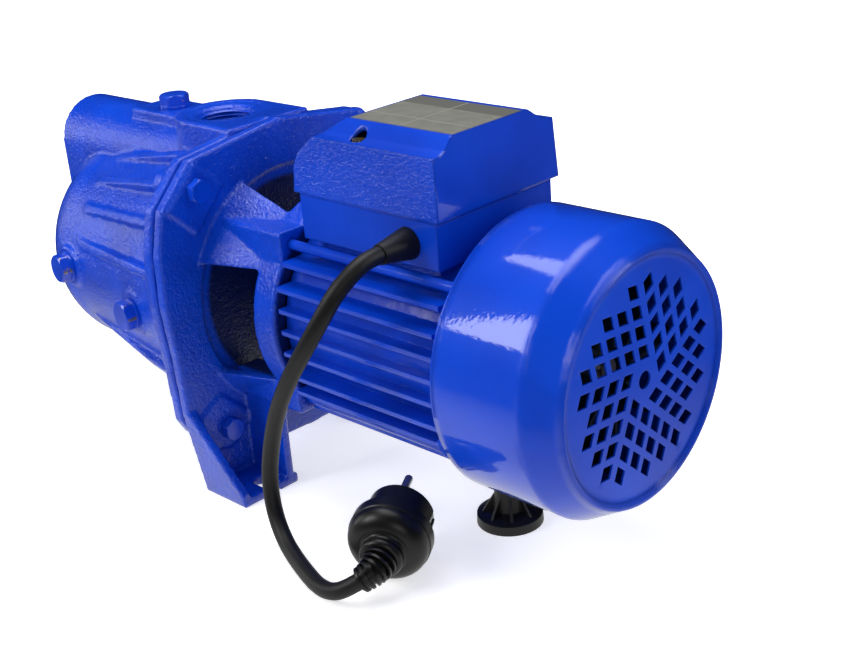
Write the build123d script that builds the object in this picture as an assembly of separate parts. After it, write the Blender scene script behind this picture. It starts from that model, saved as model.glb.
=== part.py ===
from build123d import *
from math import cos, degrees, pi, radians, sin, sqrt, tan
import os

# Shallow well jet pump: cast pump end, finned motor, terminal box and mains lead.
# Millimetres. +X runs along the shaft from the fan to the suction port, +Z is up and
# the origin is on the floor, midway between the two foot slots.

# ---------------------------------------------------------------- driving dimensions
AXIS_Z = 113.0            # height of the shaft line above the floor

# stations along X, from the fan end to the suction end
COVER_X0 = -240.0         # face of the ventilation grille
COVER_CREASE_X = -223.6   # where the cover's cone starts
COVER_X1 = -168.0         # open rim of the cover
HOUSING_X0 = -164.0       # motor housing, fan end
HOUSING_X1 = -37.0        # motor housing, pump end
RING_X1 = -19.0           # bracket: end of the ring that holds the motor
PLATE_X0 = 20.0           # bracket: plate face on the motor side
PLATE_X1 = 27.0           # bracket: plate face on the pump side
FLANGE_X0 = 29.0          # casing flange, after a 2 mm gasket
FLANGE_X1 = 37.0
CASING_SHOULDER_X = 165.0  # where the casing's cone turns into its dome
CASING_X1 = 212.0         # end of the dome
SUCTION_X = 220.0         # face of the suction port

# motor
COVER_R = 77.5
COVER_FACE_R = 66.9
SHEET_T = 1.2
HOUSING_R = 58.0          # outside of the tube under the fins
HOUSING_BORE_R = 54.0
FIN_REACH = 64.0          # flat sides of the finned body
FIN_CIRCLE_R = 70.0       # rounded corners of the finned body
FIN_PITCH = 13.0
FIN_T = 2.6
TIE_ROD_OFFSET = 47.2     # tie rods sit at (+-offset, +-offset) from the shaft line
TIE_ROD_R = 2.9
SHAFT_R = 8.5
BEARING_OUTER_R = 20.0
BEARING_W = 12.0
FRONT_BEARING_X = -49.0
REAR_BEARING_X = -172.5
SHIELD_X0 = -174.0        # rear end shield, outer face
ROTOR_R = 30.7
STATOR_BORE_R = 31.2
STATOR_X0 = -146.0
STATOR_X1 = -80.0

# ventilation grille: five sectors of rhombic holes round one round hole
GRILLE_PITCH = 11.494
GRILLE_PHASE_A = -0.265
GRILLE_PHASE_B = 1.367
GRILLE_TURN = 5.333
GRILLE_BAR = 3.4
GRILLE_ROWS = (5, 4, 3, 1)
GRILLE_CENTRE_R = 4.8

# pump end
LANTERN_R0 = 67.5         # bracket drum at the motor ring
LANTERN_R1 = 78.5         # bracket drum at the plate
LANTERN_WALL = 6.0
WALL_X0 = 24.0            # recessed wall that closes the bracket's drum
BOSS_HALF_W = 8.5
PAD_H = 1.8               # raised corners under the bolt heads
CASING_R0 = 89.0          # casing cone at the flange
CASING_R1 = 70.9          # casing cone at the shoulder
CASING_END_R = 32.2       # flat end of the dome
CASING_WALL = 5.5
HORN_Z = 179.5            # axis of the suction horn
HORN_R = 27.8
PORT_MAJOR_R = 16.6       # G1 pipe thread, drawn as a plain bore
PAD_Z = 213.0             # top of the discharge pad
SPOT_R = 25.5             # spot face round the discharge port
SPOT_DEPTH = 0.9
PAD_HALF_W = 31.2
PORT_X = 71.0             # axis of the discharge port
PRIMING_X = 123.0         # axis of the priming plug
PRIMING_Z = 209.5         # seat of the priming plug
PLUG_BORE_R = 6.8         # G1/4 bores of the three screwed plugs
RIB_ANGLES = (16, 34, 50, 66, -28, -50)
BOLT_Y = 67.0
BOLT_Z = 75.0
FOOT_Y0 = 46.0
FOOT_Y1 = 85.0
FOOT_X0 = -11.7
FOOT_T = 6.0
SLOT_Y = 63.0
SLOT_W = 10.0
PLATE_HALF = [(0, 101.5), (67.3, 92.4), (90.9, 67.9), (97.2, 42), (98.3, 12), (95.3, -22),
              (93.8, -58), (84.8, -AXIS_Z), (FOOT_Y0, -AXIS_Z), (FOOT_Y0, -98), (0, -100)]
FLANGE_HALF = [(0, 100.8), (67.3, 91.7), (90.9, 67.3), (97.2, 42), (98.3, 12), (95.3, -22),
               (92.8, -64), (87.5, -74), (68, -88), (0, -94)]

# terminal box
LID_X0 = -151.7
LID_X1 = -44.2
LID_HALF_W = 47.4
LID_Z0 = 192.0
LEDGE_Z = 224.6
PLATEAU_Z = 233.0
BASE_X0 = -148.0
BASE_X1 = -46.0
BASE_HALF_W = 45.0
BASE_Z0 = 165.0
BOX_WALL = 2.5
BOX_FLOOR_Z = 174.0       # crest of the arched floor, clear of the motor housing
LID_SCREWS = [(-90.5, 38.5), (-141.0, -38.0)]

# cord and plug
CORD_R = 4.7
GLAND_X = -127.0
GLAND_Z = 177.0
GLAND_TIP_Y = 65.5
PLUG_HEADING = (0.467, -0.877, 0.110)
PLUG_FLANGE_R = 23.0
PLUG_INSERT_R = 18.6
RELIEF_BEND_R = 12.0      # centreline of the plug's bent strain relief
RELIEF_RINGS = 6
PIN_OFFSET = 9.5

SHAFT_AXIS = Axis((0, 0, AXIS_Z), (1, 0, 0))
SIDES = (1, -1)
QUADRANTS = [(sy, sz) for sy in SIDES for sz in SIDES]


# ---------------------------------------------------------------- helpers
def save(name, *solids):
    """Write one node; several solids stay separate in a compound."""
    shape = solids[0] if len(solids) == 1 else Compound(children=list(solids))
    export_step(shape, f"parts/{name}.step")


def box(x0, x1, y0, y1, z0, z1):
    centre = Pos((x0 + x1) / 2, (y0 + y1) / 2, (z0 + z1) / 2)
    return centre * Box(x1 - x0, y1 - y0, z1 - z0)


def rod_x(x0, x1, r, y=0.0, z=AXIS_Z):
    return Pos((x0 + x1) / 2, y, z) * Rot(0, 90, 0) * Cylinder(r, x1 - x0)


def ring_x(x0, x1, r_out, r_in, y=0.0, z=AXIS_Z):
    return rod_x(x0, x1, r_out, y, z) - rod_x(x0 - 1, x1 + 1, r_in, y, z)


def rod_z(z0, z1, r, x=0.0, y=0.0):
    return Pos(x, y, (z0 + z1) / 2) * Cylinder(r, z1 - z0)


def turned(*points):
    """Solid of revolution about the shaft line, from (x, radius) points."""
    outline = Polyline(*[(x, 0, AXIS_Z + r) for x, r in points], close=True)
    return revolve(make_face(outline), axis=SHAFT_AXIS)


def plate_x(x0, x1, points):
    """Flat plate across the shaft line, from (y, z above the shaft line) points."""
    outline = Polyline(*[(x0, y, AXIS_Z + z) for y, z in points], close=True)
    return extrude(make_face(outline), amount=x1 - x0, dir=(1, 0, 0))


def wall_y(y0, y1, points):
    """Flat wall along the shaft line, from (x, z) points."""
    outline = Polyline(*[(x, y0, z) for x, z in points], close=True)
    return extrude(make_face(outline), amount=y1 - y0, dir=(0, 1, 0))


def mirrored(points):
    """Close a half outline, given from the top down on +Y, with its mirror image."""
    left = [(-y, z) for y, z in reversed(points) if y > 0]
    return list(points) + left


def hexagon(across_flats, height):
    """Hexagonal prism standing on the XY plane."""
    return extrude(RegularPolygon(across_flats / 2, 6, major_radius=False), amount=height)


def hex_bolt(across_flats, head, shank_r, shank_length):
    """Bolt with its head above Z = 0 and its shank below; corners of the head turned off."""
    top = Pos(0, 0, head / 2) * Cylinder(across_flats * 0.56, head)
    crown = chamfer(top.faces().sort_by(Axis.Z)[-1].edges(), across_flats * 0.06)
    blank = hexagon(across_flats, head) & crown
    return blank + Pos(0, 0, -shank_length / 2) * Cylinder(shank_r, shank_length)


def thread_bore_z(x, z_top, depth):
    """Cutter for a vertical pipe-thread bore with its lead-in chamfer and shallow spot face."""
    bore = rod_z(z_top - depth, z_top + 1, PORT_MAJOR_R, x)
    mouth = Pos(x, 0, z_top - 2) * Cone(PORT_MAJOR_R, PORT_MAJOR_R + 3, 3)
    return bore + mouth + rod_z(z_top - SPOT_DEPTH, z_top + 1, SPOT_R, x)


# ---------------------------------------------------------------- motor
def fin_levels():
    """Heights of the horizontal fins, measured from the shaft line."""
    return [FIN_PITCH * (3 - k) for k in range(9) if abs(FIN_PITCH * (3 - k)) < 53]


def fins():
    blades = []
    for z in fin_levels():
        reach = min(FIN_REACH, sqrt(FIN_CIRCLE_R ** 2 - z ** 2))
        blades.append(box(HOUSING_X0 + 6, HOUSING_X1 - 2, -reach, reach,
                          AXIS_Z + z - FIN_T / 2, AXIS_Z + z + FIN_T / 2))
    return blades


def motor_housing():
    tube = rod_x(HOUSING_X0, HOUSING_X1, HOUSING_R)
    for blade in fins():
        tube += blade
    # neck under the terminal box and pad over the rubber foot
    tube += box(BASE_X0 + 8, BASE_X1 - 8, -36, 36, AXIS_Z + 40, BASE_Z0)
    tube += box(-160, -131, -22, 22, AXIS_Z - 66, AXIS_Z - 50)
    tube -= rod_x(HOUSING_X0 - 1, HOUSING_X1 + 1, HOUSING_BORE_R)
    tube -= rod_z(AXIS_Z + 30, AXIS_Z + 60, 8, -52.5)
    tube -= rod_z(AXIS_Z - 70, AXIS_Z - 52, 4.2, -145.4)
    save("motor_housing", tube)


def stator():
    stack = ring_x(STATOR_X0, STATOR_X1, HOUSING_BORE_R, STATOR_BORE_R)
    slots = 24
    for k in range(slots):
        angle = k * 360 / slots
        slot = box(STATOR_X0 - 1, STATOR_X1 + 1, -2.2, 2.2, AXIS_Z + 33, AXIS_Z + 45)
        stack -= slot.rotate(SHAFT_AXIS, angle)
    save("stator_core", stack)
    ends = []
    for x0, x1 in ((STATOR_X0 - 14, STATOR_X0 - 0.2), (STATOR_X1 + 0.2, STATOR_X1 + 14)):
        coil = turned((x0, 36), (x0 + 3, 33), (x1 - 3, 33), (x1, 36), (x1, 45),
                      (x1 - 3, 48), (x0 + 3, 48), (x0, 45))
        ends.append(coil)
    save("stator_windings", *ends)


def rotor():
    core = ring_x(STATOR_X0 + 1, STATOR_X1 - 1, ROTOR_R, 11.0)
    core += ring_x(STATOR_X0 - 7, STATOR_X0 + 1, ROTOR_R - 3, 14.0)
    core += ring_x(STATOR_X1 - 1, STATOR_X1 + 7, ROTOR_R - 3, 14.0)
    save("rotor_core", core)
    shoulder0 = REAR_BEARING_X + BEARING_W
    shoulder1 = FRONT_BEARING_X
    shaft = turned((-218, 0), (-218, 6.0), (-190, 6.0), (-190, SHAFT_R), (shoulder0, SHAFT_R),
                   (shoulder0, 11.0), (shoulder1, 11.0), (shoulder1, SHAFT_R), (-34, SHAFT_R),
                   (-34, 7.5), (41, 7.5), (41, 6.5), (58, 6.5), (58, 4.0), (70, 4.0), (70, 0))
    groove = ring_x(-214.4, -213.2, 7.0, 5.4)
    save("shaft", shaft - groove)


def bearing(name, x0):
    """Deep-groove ball bearing: 17 x 40 x 12 mm."""
    pitch_r = (SHAFT_R + BEARING_OUTER_R) / 2
    ball_r = 3.2
    middle = x0 + BEARING_W / 2
    path = Pos(middle, 0, AXIS_Z) * Rot(0, 90, 0) * Torus(pitch_r, ball_r + 0.25)
    save(f"{name}_bearing_outer", ring_x(x0, x0 + BEARING_W, BEARING_OUTER_R, 16.4) - path)
    save(f"{name}_bearing_inner", ring_x(x0, x0 + BEARING_W, 12.1, SHAFT_R) - path)
    balls = []
    for k in range(8):
        angle = radians(k * 45)
        balls.append(Pos(middle, pitch_r * cos(angle), AXIS_Z + pitch_r * sin(angle))
                     * Sphere(ball_r))
    save(f"{name}_bearing_balls", *balls)


def rear_end_shield():
    hub_x = REAR_BEARING_X + BEARING_W
    rim_r = COVER_R - SHEET_T
    disc = turned((SHIELD_X0, 10), (SHIELD_X0, rim_r), (-166, rim_r), (-166, 70), (HOUSING_X0, 70),
                  (HOUSING_X0, HOUSING_BORE_R - 0.2), (-161, HOUSING_BORE_R - 0.2),
                  (-161, 50), (-168, 50), (-168, 26), (hub_x, 26), (hub_x, 10))
    # two lugs behind the cover's rim
    for side in SIDES:
        lug = box(-168, -161, 36, rim_r, AXIS_Z - 5.5, AXIS_Z + 5.5) - rod_x(-169, -160, 62)
        disc += lug.rotate(SHAFT_AXIS, -27 if side > 0 else 207) & rod_x(-169, -160, rim_r - 0.5)
    disc -= rod_x(REAR_BEARING_X - 1, hub_x + 1, BEARING_OUTER_R)
    for sy, sz in QUADRANTS:
        y = sy * TIE_ROD_OFFSET
        disc -= rod_x(SHIELD_X0 - 1, HOUSING_X0 + 4, TIE_ROD_R + 0.3, y, AXIS_Z + sz * TIE_ROD_OFFSET)
    save("rear_end_shield", disc)
    washer_x = REAR_BEARING_X - 0.9
    save("wave_washer", ring_x(washer_x, washer_x + 0.8, 19.5, 13.5))


def tie_rods():
    rods = []
    for sy, sz in QUADRANTS:
        y = sy * TIE_ROD_OFFSET
        z = AXIS_Z + sz * TIE_ROD_OFFSET
        rod = rod_x(SHIELD_X0, -24, TIE_ROD_R, y, z)
        head = Pos(SHIELD_X0, y, z) * Rot(0, -90, 0) * hexagon(8, 4)
        rods.append(rod + head)
    save("tie_rods", *rods)


def fan():
    hub = turned((-213, 6.0), (-213, 11), (-210, 14), (-199, 14), (-199, 60), (-196.5, 60),
                 (-196.5, 12), (-190, 12), (-190, 6.0))
    for k in range(8):
        blade = box(-222, -198, -1.0, 1.0, AXIS_Z + 13, AXIS_Z + 60)
        hub += blade.rotate(SHAFT_AXIS, k * 45)
    save("fan", hub - rod_x(-230, -189, 6.0))
    clip = ring_x(-214.4, -213.2, 9.5, 5.6)
    save("fan_circlip", clip - box(-215, -213, -1.5, 1.5, AXIS_Z, AXIS_Z + 12))


def grille_holes():
    """Corners of the rhombic holes, as (y, z above the shaft line)."""
    holes = []
    half = (GRILLE_PITCH - GRILLE_BAR) / 2 * sin(radians(72))
    for sector in range(5):
        angle_a = radians(GRILLE_TURN + 72 * sector)
        angle_b = angle_a + radians(72)
        a = (cos(angle_a), sin(angle_a))
        b = (cos(angle_b), sin(angle_b))
        for row, count in enumerate(GRILLE_ROWS):
            for column in range(count):
                u = GRILLE_PITCH * (GRILLE_PHASE_A + column)
                v = GRILLE_PITCH * (GRILLE_PHASE_B + row)
                centre = (u * a[0] + v * b[0], u * a[1] + v * b[1])
                corners = []
                for p, q in ((1, 1), (1, -1), (-1, -1), (-1, 1)):
                    corners.append((centre[0] + half * (p * a[0] + q * b[0]),
                                    centre[1] + half * (p * a[1] + q * b[1])))
                holes.append(corners)
    return holes


def fan_cover():
    t = SHEET_T
    bead_x = COVER_X0 - 2.0
    shell = turned((COVER_X0, 0.0), (COVER_X0, COVER_FACE_R - 3.2), (bead_x, COVER_FACE_R - 1.2),
                   (bead_x, COVER_FACE_R), (COVER_CREASE_X, COVER_R), (COVER_X1, COVER_R),
                   (COVER_X1, COVER_R - t), (COVER_CREASE_X + 0.4, COVER_R - t),
                   (COVER_X0 - 0.4, COVER_FACE_R - 0.3), (COVER_X0 + t, COVER_FACE_R - 3.0),
                   (COVER_X0 + t, 0.0))
    cutters = [plate_x(COVER_X0 - 3, COVER_X0 + 4, corners) for corners in grille_holes()]
    shell -= cutters
    shell -= rod_x(COVER_X0 - 3, COVER_X0 + 4, GRILLE_CENTRE_R)
    save("fan_cover", shell)


def rubber_foot():
    x = -145.4
    foot = Pos(x, 0, 0) * revolve(make_face(Polyline(
        (0, 0, 0), (19.1, 0, 0), (18.8, 0, 5.5), (16.5, 0, 6.4), (9.5, 0, 8.5), (8.0, 0, 22),
        (8.0, 0, 40), (0, 0, 40), close=True)), axis=Axis.Z)
    for k in range(8):
        gusset = Pos(x, 0, 0) * Rot(0, 0, k * 45) * wall_y(-0.8, 0.8, [(7, 7), (16, 6.2), (7, 20)])
        foot += gusset
    save("rubber_foot", foot)
    save("foot_stud", rod_z(40, 59, 4.0, x) + rod_z(40, AXIS_Z - 66, 9.0, x))


# ---------------------------------------------------------------- bracket
def lantern():
    end = PLATE_X0 + 1
    drum = turned((HOUSING_X1, HOUSING_R), (HOUSING_X1, LANTERN_R0 - 1.5),
                  (HOUSING_X1 + 1.5, LANTERN_R0), (RING_X1, LANTERN_R0), (end, LANTERN_R1),
                  (end, LANTERN_R1 - LANTERN_WALL), (RING_X1, LANTERN_R0 - LANTERN_WALL),
                  (RING_X1, HOUSING_R))
    for sy, sz in QUADRANTS:
        y = sy * TIE_ROD_OFFSET
        z = AXIS_Z + sz * TIE_ROD_OFFSET
        boss = box(HOUSING_X1, end, y - BOSS_HALF_W, y + BOSS_HALF_W, z - BOSS_HALF_W, z + BOSS_HALF_W)
        drum += boss & rod_x(HOUSING_X1 - 1, end + 1, LANTERN_R1 - 1)
    # four windows between ring and plate
    drum -= box(RING_X1, PLATE_X0, -100, 100, AXIS_Z - 38, AXIS_Z + 32)
    drum -= box(RING_X1, PLATE_X0, -32, 32, AXIS_Z - 100, AXIS_Z + 100)
    return drum


def motor_bracket():
    body = plate_x(PLATE_X0, PLATE_X1, mirrored(PLATE_HALF)) + lantern()
    body -= rod_x(PLATE_X0 - 1, WALL_X0, LANTERN_R1 - LANTERN_WALL)
    # partition that carries the front bearing, and the hub that carries the seal
    mouth = FRONT_BEARING_X - 1
    body += turned((mouth, BEARING_OUTER_R), (mouth, 26), (-40, 26), (-30, 30), (-30, HOUSING_R + 1),
                   (-22, HOUSING_R + 1), (-22, 11), (HOUSING_X1, 11), (HOUSING_X1, BEARING_OUTER_R))
    body += ring_x(6, PLATE_X1, 26, 17.0)
    for side in SIDES:
        body += foot(side)
        body += corner_pads(side)
    # centre of the plate: through hole for the shaft, seat bore for the seal
    body -= rod_x(-1, 40, 11.0)
    body -= rod_x(17, 40, 17.0)
    body += ring_x(6, 17, 20, 11.0)
    for sy, sz in QUADRANTS:
        y = sy * TIE_ROD_OFFSET
        z = AXIS_Z + sz * TIE_ROD_OFFSET
        body -= rod_x(HOUSING_X1 - 1, -24, TIE_ROD_R, y, z)
    for y, z in bolt_places():
        body -= rod_x(PLATE_X0 - 2, PLATE_X1 + 1, 4.5, y, z)
    save("motor_bracket", body)


def foot(side):
    """One foot: sole with a slot open towards the motor, inner wall and leaning outer web."""
    lean = 9.0
    sole = box(FOOT_X0, PLATE_X1, FOOT_Y0 - 3, FOOT_Y1, 0, FOOT_T)
    sole -= box(FOOT_X0 - 1, 0, SLOT_Y - SLOT_W / 2, SLOT_Y + SLOT_W / 2, -1, FOOT_T + 1)
    sole -= rod_z(-1, FOOT_T + 1, SLOT_W / 2, 0, SLOT_Y)
    inner = wall_y(FOOT_Y0, FOOT_Y0 + 5, [(FOOT_X0, 0), (PLATE_X1, 0), (PLATE_X1, 60),
                                          (FOOT_X0 - 2, 60), (FOOT_X0 - 2, 52), (FOOT_X0, 46)])
    web = wall_y(FOOT_Y1 - 5, FOOT_Y1, [(FOOT_X0, 0), (PLATE_X1 - 2, 0), (PLATE_X1 - 2, 58),
                                        (PLATE_X0, 58), (FOOT_X0, 8)])
    web = web.rotate(Axis((0, FOOT_Y1, 0), (1, 0, 0)), -lean)
    shape = sole + inner + (web - box(-50, 50, 0, 120, -20, 0))
    return shape if side > 0 else mirror(shape, Plane.XZ)


def corner_pads(side):
    """Raised corners that the casing bolts bear on."""
    upper = [(66, 90), (88, 67), (70, 50), (48, 73)]
    lower = [(48, -73), (70, -52), (91, -64), (88, -84), (66, -88)]
    x0 = PLATE_X0 - PAD_H
    pads = plate_x(x0, PLATE_X0 + 1, upper) + plate_x(x0, PLATE_X0 + 1, lower)
    return pads if side > 0 else mirror(pads, Plane.XZ)


def bolt_places():
    return [(sy * BOLT_Y, AXIS_Z + sz * BOLT_Z) for sy, sz in QUADRANTS]


def casing_bolts():
    bolts = []
    for y, z in bolt_places():
        bolt = hex_bolt(13, 5.5, 4.0, 26)
        bolts.append(Pos(PLATE_X0 - PAD_H, y, z) * Rot(0, -90, 0) * bolt)
    save("casing_bolts", *bolts)


def casing_gasket():
    outline = [(y * 0.975, z * 0.975) for y, z in mirrored(FLANGE_HALF)]
    sheet = plate_x(PLATE_X1, FLANGE_X0, outline) - rod_x(PLATE_X1 - 1, FLANGE_X0 + 1, 74)
    for y, z in bolt_places():
        sheet -= rod_x(PLATE_X1 - 1, FLANGE_X0 + 1, 4.5, y, z)
    save("casing_gasket", sheet)


# ---------------------------------------------------------------- pump casing
def dome(inset):
    """Casing cone with its domed end, shrunk by inset."""
    start = FLANGE_X0
    r0 = CASING_R0 - inset
    r1 = CASING_R1 - inset
    end_r = CASING_END_R - inset
    x1 = CASING_X1 - inset
    shoulder = CASING_SHOULDER_X
    depth = x1 - shoulder
    drop = r1 - end_r
    corner = (shoulder + depth * sin(pi / 4), AXIS_Z + end_r + drop * cos(pi / 4))
    edges = [
        Line((start, 0, AXIS_Z), (start, 0, AXIS_Z + r0)),
        Line((start, 0, AXIS_Z + r0), (shoulder, 0, AXIS_Z + r1)),
        ThreePointArc((shoulder, 0, AXIS_Z + r1), (corner[0], 0, corner[1]),
                      (x1, 0, AXIS_Z + end_r)),
        Line((x1, 0, AXIS_Z + end_r), (x1, 0, AXIS_Z)),
        Line((x1, 0, AXIS_Z), (start, 0, AXIS_Z)),
    ]
    return revolve(make_face(edges), axis=SHAFT_AXIS)


def casing_rib(angle):
    """Tapered rib from the flange to the dome."""
    rib = wall_y(-3.0, 3.0, [(FLANGE_X1 - 1, AXIS_Z + 76), (FLANGE_X1 - 1, AXIS_Z + 95),
                             (FLANGE_X1 + 40, AXIS_Z + 89), (152, AXIS_Z + 73.5), (152, AXIS_Z + 66)])
    return rib.rotate(SHAFT_AXIS, angle - 90)


def side_plug_places():
    """Seat centre and direction of the two side plugs, on the +Y side of the cone."""
    slope = (CASING_R0 - CASING_R1) / (CASING_SHOULDER_X - FLANGE_X0)
    places = {}
    for name, x, z in (("vacuum_gauge", 164.0, AXIS_Z + 2.0), ("pressure_gauge", 79.0, AXIS_Z - 8.0)):
        r = CASING_R0 - slope * (x - FLANGE_X0) + 1.5
        y = sqrt(r ** 2 - (z - AXIS_Z) ** 2)
        places[name] = (x, y, z)
    return places, degrees(slope)


def plug_location(name):
    places, tilt = side_plug_places()
    x, y, z = places[name]
    return Pos(x, y, z) * Rot(0, 0, -tilt) * Rot(-90, 0, 0)


def pump_casing():
    body = plate_x(FLANGE_X0, FLANGE_X1, mirrored(FLANGE_HALF))
    body += dome(0)
    for angle in RIB_ANGLES:
        body += casing_rib(angle) + casing_rib(180 - angle)
    for y, z in bolt_places():
        body += rod_x(FLANGE_X0, FLANGE_X1 + 10, 9.5, y, z)
    # suction horn, the slab under it, and the discharge pad
    body += rod_x(FLANGE_X1, SUCTION_X, HORN_R, 0, HORN_Z)
    body += box(110, SUCTION_X, -HORN_R, HORN_R, AXIS_Z + 34, HORN_Z)
    body += box(FLANGE_X0, PORT_X, -PAD_HALF_W, PAD_HALF_W, AXIS_Z + 70, PAD_Z)
    body += rod_z(AXIS_Z + 70, PAD_Z, PAD_HALF_W, PORT_X)
    body += box(PORT_X, 150, -16, 16, AXIS_Z + 60, PRIMING_Z)
    for name in side_plug_places()[0]:
        body += plug_location(name) * Pos(0, 0, -7) * Cylinder(13.5, 14)
    # cavities
    body -= dome(CASING_WALL) & box(FLANGE_X0 - 1, 176, -100, 100, 0, 220)
    body -= rod_x(FLANGE_X0 - 2, FLANGE_X0 + 12, 80)
    body -= rod_x(120, SUCTION_X - 20, 20, 0, HORN_Z)
    body -= rod_x(SUCTION_X - 21, SUCTION_X + 1, PORT_MAJOR_R, 0, HORN_Z)
    body -= box(150, 196, -14, 14, AXIS_Z + 6, HORN_Z)
    body -= rod_x(170, 204, 18)
    body -= thread_bore_z(PORT_X, PAD_Z, 60)
    body -= rod_z(180, 212, PLUG_BORE_R, PRIMING_X)
    for name in side_plug_places()[0]:
        body -= plug_location(name) * Pos(0, 0, -15) * Cylinder(PLUG_BORE_R, 34)
    for y, z in bolt_places():
        body -= rod_x(FLANGE_X0 - 1, FLANGE_X1 + 8, 4.0, y, z)
    save("pump_casing", body)


def screwed_plugs():
    """Three hexagon plugs, each on its sealing washer, standing on their seats."""
    places = {"priming": Pos(PRIMING_X, 0, PRIMING_Z)}
    for name in side_plug_places()[0]:
        places[name] = plug_location(name)
    for name, where in places.items():
        washer = Pos(0, 0, 1.0) * (Cylinder(10.0, 2.0) - Cylinder(PLUG_BORE_R, 3.0))
        plug = Pos(0, 0, 2.0) * hex_bolt(17, 6.5, 6.5, 11)
        save(f"{name}_washer", where * washer)
        save(f"{name}_plug", where * plug)


# ---------------------------------------------------------------- hydraulics
def mechanical_seal():
    save("seal_seat", ring_x(18.5, 26.5, 17.0, 8.6))
    save("seal_head", ring_x(26.8, 32.0, 15.0, 7.5))
    turns = 4
    coil = Helix(pitch=2.2, height=2.2 * turns, radius=11.5)
    wire = Pos(33.0, 0, AXIS_Z) * Rot(0, 90, 0) * coil
    start = Plane(origin=wire @ 0, z_dir=wire % 0)
    spring = sweep(start * Circle(0.9), path=wire)
    save("seal_spring", spring)
    save("slinger", ring_x(-16, -13, 24, 7.5))


def impeller():
    wheel = turned((43.5, 6.5), (43.5, 14), (45, 18), (46, 62), (48.5, 62), (50, 20), (57.5, 13),
                   (57.5, 6.5))
    front = turned((54.5, 21), (54.5, 62), (56.5, 62), (58.5, 21))
    for k in range(6):
        vane = box(47, 55.5, -1.2, 1.2, AXIS_Z + 18, AXIS_Z + 61)
        wheel += vane.rotate(Axis((0, 0, AXIS_Z + 18), (1, 0, 0)), 28).rotate(SHAFT_AXIS, k * 60)
    wheel += front
    save("impeller", wheel - rod_x(40, 60, 6.5))
    nut = Pos(58, 0, AXIS_Z) * Rot(0, 90, 0) * hexagon(13, 6.5)
    save("impeller_nut", nut - rod_x(50, 80, 4.0))


def ejector():
    diffuser = turned((62, 24), (62, 72), (74, 72), (74, 66), (66, 64), (66, 34), (80, 28), (80, 17),
                      (74, 17), (70, 24))
    for k in range(8):
        vane = box(PLATE_X1, 63, -1.5, 1.5, AXIS_Z + 64.5, AXIS_Z + 71.5)
        diffuser += vane.rotate(SHAFT_AXIS, k * 45)
    save("diffuser", diffuser)
    venturi = turned((74.2, 13.5), (74.2, 16.8), (80.5, 16.8), (80.5, 15.5), (150, 11.5), (168, 13.0),
                     (168, 17.8), (176, 17.8), (176, 13.5), (160, 6.5), (145, 6.0))
    save("venturi_tube", venturi)
    save("venturi_ring", ring_x(170, 173, 17.95, 17.8))
    nozzle = turned((178, 4.5), (178, 6.5), (196, 12), (196, 17.9), (203.8, 17.9), (203.8, 11.0))
    save("jet_nozzle", nozzle)


# ---------------------------------------------------------------- terminal box
def lid_form(inset):
    """Outside of the lid, or its inside when inset is the wall thickness."""
    w0 = LID_HALF_W - inset
    w1 = LID_HALF_W - 1.5 - inset
    ledge = LEDGE_Z - inset
    top = PLATEAU_Z - inset
    base = LID_Z0 - (1.0 if inset else 0.0)
    x0 = LID_X0 + inset
    x1 = LID_X1 - inset
    across = [(-w0, base), (-w1, ledge - 0.2), (-39, ledge + 0.6), (-35.2, ledge + 2.3), (-26, top),
              (31.5, top), (33.5, top - 1.8), (37.5, ledge + 1.9), (41, ledge + 0.3),
              (w1, ledge - 0.2), (w0, base)]
    along = plate_x(x0 - 2, x1 + 2, [(y, z - AXIS_Z) for y, z in across])
    side = [(x0, base), (x0 + 1.5, ledge), (x0 + 1.5, top + 1), (-78, top + 1), (-75, top),
            (-63, ledge + 0.4), (-57, ledge - 4), (-49, ledge - 11), (x1 - 1.2, ledge - 18),
            (x1, base)]
    return along & wall_y(-60, 60, side)


def terminal_box():
    lid = lid_form(0) - lid_form(BOX_WALL)
    for x, y in LID_SCREWS:
        lid -= rod_z(LEDGE_Z - 2.2, LEDGE_Z + 12, 4.6, x, y)
        lid += rod_z(LID_Z0, LEDGE_Z - 2.3, 4.4, x, y)
        lid -= rod_z(LID_Z0 - 1, LEDGE_Z + 3, 2.2, x, y)
    save("terminal_lid", lid)
    rim_z = LID_Z0 - 2
    inner = (BASE_X0 + 3, BASE_X1 - 3, 3 - BASE_HALF_W, BASE_HALF_W - 3)
    rim = box(BASE_X0, BASE_X1, -BASE_HALF_W, BASE_HALF_W, rim_z, LID_Z0)
    save("box_gasket", rim - box(*inner, rim_z - 1, LID_Z0 + 1))
    base = box(BASE_X0, BASE_X1, -BASE_HALF_W, BASE_HALF_W, BASE_Z0, rim_z)
    base -= box(*inner, BASE_Z0 + 3, LID_Z0)
    arch = rod_x(BASE_X0, BASE_X1, BOX_FLOOR_Z - AXIS_Z)
    base += arch & box(*inner, BASE_Z0, rim_z)
    base -= rod_x(BASE_X0 - 1, BASE_X1 + 1, HOUSING_R)
    for x, y in LID_SCREWS:
        base += rod_z(BASE_Z0, rim_z, 4.4, x, y)
        base -= rod_z(BASE_Z0 + 8, LID_Z0, 1.9, x, y)
    base -= Pos(GLAND_X, BASE_HALF_W, GLAND_Z) * Rot(90, 0, 0) * Cylinder(6.5, 12)
    base -= rod_z(BASE_Z0 - 1, BOX_FLOOR_Z + 1, 8, -52.5)
    save("terminal_box_base", base)
    screws = []
    for x, y in LID_SCREWS:
        head = rod_z(LEDGE_Z - 2.2, LEDGE_Z + 0.6, 3.6, x, y)
        screws.append(head + rod_z(LID_Z0 - 12, LEDGE_Z - 2.2, 1.9, x, y))
    save("lid_screws", *screws)
    save("nameplate", box(-149.5, -77, -22, 30.5, PLATEAU_Z, PLATEAU_Z + 0.3))


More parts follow.
